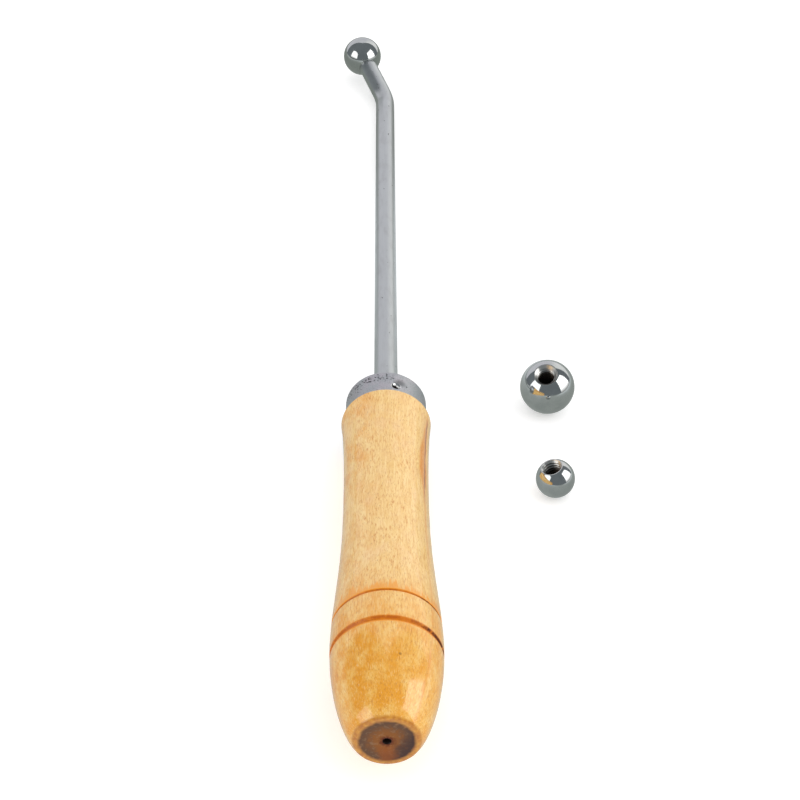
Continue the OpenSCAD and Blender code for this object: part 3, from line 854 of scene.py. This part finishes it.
def polished_steel(name, place, radius, seat):
    """Ball-bearing steel, polished to a mirror, with a faint haze and hair scratches from handling. Wherever
    the surface is inside the ball's own radius, at the hole's mouth and down the hole, it is turned and
    satin. The thread's roots are darkened with painted shade, and the hole darkens with painted shade down
    its depth."""
    f = Finish(name + "_steel", Metallic=1.0)
    x, y, z = f.place(place)
    here = f.vector(x, y, z)
    haze = f.noise(here, scale=0.26, detail=3, roughness=0.6)
    hair = f.noise(here, scale=2.6, detail=2, roughness=0.7)
    cut = f.span(f.far(x, y, z), radius / MM - 0.01, radius / MM - 0.05)
    rings = f.noise(f.vector(0.0, 0.0, z * 7), detail=1)
    mirror = f.blend(f.span(haze, 0.3, 0.7), tint(196, 199, 198), tint(208, 210, 209))
    turned = f.blend(rings, tint(206, 205, 201), tint(236, 235, 231))
    depth = seat / MM - z
    across = f.far(x, y)
    # Painted shade: the thread's roots, from a little way down the hole, are darkened.
    turned = f.blend(f.span(across, 2.2, 2.42) * f.span(depth, 0.4, 0.8) * 0.75, turned, tint(84, 78, 72))
    # Painted shade: the hole darkens towards its bottom.
    turned = f.blend(f.span(depth, 0.9, 3.2), turned, tint(58, 50, 44))
    f.set("Base Color", f.blend(cut, mirror, turned))
    f.set("Roughness", 0.08 + f.span(haze, 0.5, 0.75) * 0.05 + f.span(hair, 0.66, 0.75) * 0.1 + cut * 0.22)
    return f.material


# ------------------------------------------------------------------------------
# The object
# ------------------------------------------------------------------------------

wood_handle(lacquered_wood())
steel_rod(drawn_steel())
ferrule(zinc_steel())
ferrule_pin(pin_steel())
tapped_ball(
    "fitted_ball", Axes(tip_middle, tip.x, -tip_axis), TIP_BALL_R, ROD_SEAT_R, "fitted_ball", "tip_ball")
for size, seat_r in (("large", ROD_SEAT_R), ("small", SMALL_SEAT_R)):
    hole = unit(mounts[size + "_ball_thread"]["axis"])
    node = "spare_ball_" + size
    middle, radius = middle_of_ball(node, hole)
    place = Axes(middle, (1, 0, 0), hole)
    tapped_ball("tapped_ball_" + size, place, radius, seat_r, size + "_ball", node)

# ------------------------------------------------------------------------------
# The studio: a pale floor under even white light. The steel mirrors cards that only reflections see: a
# grey table, a light backdrop, two softboxes and the dim room round them.
# ------------------------------------------------------------------------------


def card(name, corners, finish):
    """A flat stage piece through its corners, in metres."""
    mesh = bpy.data.meshes.new(name)
    mesh.from_pydata(corners, [], [tuple(range(len(corners)))])
    mesh.materials.append(finish)
    made = bpy.data.objects.new(name, mesh)
    bpy.context.scene.collection.objects.link(made)
    return made


def level_card(name, size, height, finish):
    """A level square card that reaches the size out from the middle each way."""
    return card(name, [(a * size, b * size, height) for a, b in ((-1, -1), (1, -1), (1, 1), (-1, 1))], finish)


def glow(name, strength, colour):
    """A finish that only shines."""
    return Finish(name, Base_Color=(0, 0, 0, 1), Specular_IOR_Level=0.0, Emission_Color=colour,
                  Emission_Strength=strength)


def mirrored_only(made):
    """Leaves a stage piece to reflections: it is not seen and casts no light or shadow."""
    made.visible_camera = made.visible_diffuse = made.visible_transmission = made.visible_shadow = False


def mirrored_cards():
    """What the steel mirrors. The table is grey, with a painted pool of light beside the rod and one under
    each softbox, and the backdrop is brighter on the right. Both softboxes fade towards their feet."""
    room = Axes((0, 0, 0), (1, 0, 0), (0, 0, 1))
    table = glow("mirrored_table", 1.0, WHITE)
    x, y, _ = table.place(room)
    colour = tint(148, 154, 149)
    # Painted pools of light on the mirrored table: one beside the rod and one under each softbox.
    for pool_x, pool_y, near, far, share in (
            (0, 45, 15, 80, 1.0),
            (330, -50, 170, 310, 1.0),
            (-650, -400, 640, 820, 0.6)):
        away = table.far(x - pool_x, y - pool_y)
        colour = table.blend(table.span(away, far, near, 0, share), colour, tint(222, 228, 230))
    table.set("Emission Color", colour)
    mirrored_only(level_card("mirrored_table", 6, -0.001, table.material))

    backdrop = glow("mirrored_backdrop", 1.0, WHITE)
    brighter = backdrop.span(backdrop.place(room)[0], 100, 650)
    backdrop.set("Emission Color", backdrop.blend(brighter, tint(224, 224, 230), tint(255, 255, 255)))
    mirrored_only(card(
        "mirrored_backdrop", [(-1.9, 1.1, 0), (1.9, 1.1, 0), (0, 1.1, 2.25)], backdrop.material))

    for name, strength, low, high, corners in (
            ("right_softbox", 2.4, -20, 110, [
                (0.25, -0.2, 0.0), (0.5, 0.1, 0.0), (0.5, 0.1, 0.5), (0.25, -0.2, 0.36)]),
            ("left_softbox", 1.8, 40, 260, [
                (-1.0, -0.1, 0.0), (-0.6, -0.75, 0.0), (-0.6, -0.75, 0.75), (-0.8, -0.43, 0.95),
                (-1.0, -0.1, 0.85)])):
        box = glow(name, strength, WHITE)
        fade = box.span(box.place(room)[2], low, high)
        box.set("Emission Color", box.blend(fade, (0.06, 0.06, 0.06, 1), WHITE))
        mirrored_only(card(name, corners, box.material))


def mirrored_room():
    """A dim dome round everything that only reflections see, so that the steel mirrors a grey room."""
    bpy.ops.mesh.primitive_uv_sphere_add(radius=8)
    dome = bpy.context.object
    dome.name = "mirrored_room"
    dome.data.materials.append(glow("mirrored_room", 1.0, tint(118, 124, 128)).material)
    mirrored_only(dome)


def studio():
    """A pale floor that shines a little itself, so that shadows stay faint, in even white light from all
    round and a soft key light from the right."""
    floor = level_card("floor", 6, 0, Finish(
        "pale_floor", Base_Color=(0.85, 0.85, 0.85, 1), Roughness=1.0,
        Emission_Color=WHITE, Emission_Strength=0.36).material)
    floor.visible_glossy = False

    light = bpy.data.lights.new("key_light", "AREA")
    light.size = 0.7
    light.energy = 1.6
    key = bpy.data.objects.new("key_light", light)
    key.location = (0.7, -0.3, 0.55)
    key.rotation_euler = key.location.to_track_quat("Z", "Y").to_euler()
    key.visible_glossy = False
    bpy.context.scene.collection.objects.link(key)

    world = bpy.data.worlds.new("even_white")
    bpy.context.scene.world = world
    world.use_nodes = True
    sky = world.node_tree.nodes["Background"].inputs
    sky["Color"].default_value = WHITE
    sky["Strength"].default_value = 1.0
    world.cycles_visibility.glossy = False


def camera():
    """A long lens above the butt, looking along the tool and down."""
    made = bpy.data.objects.new("camera", bpy.data.cameras.new("camera"))
    made.data.lens = 73.7
    made.data.clip_start = 0.01
    made.location = (-0.0165, -0.3627, 0.2683)
    made.rotation_euler = (math.radians(90 - 38.78), 0, math.radians(-0.5))
    bpy.context.scene.collection.objects.link(made)
    bpy.context.scene.camera = made


studio()
mirrored_cards()
mirrored_room()
camera()
bpy.context.scene.view_settings.view_transform = "Standard"
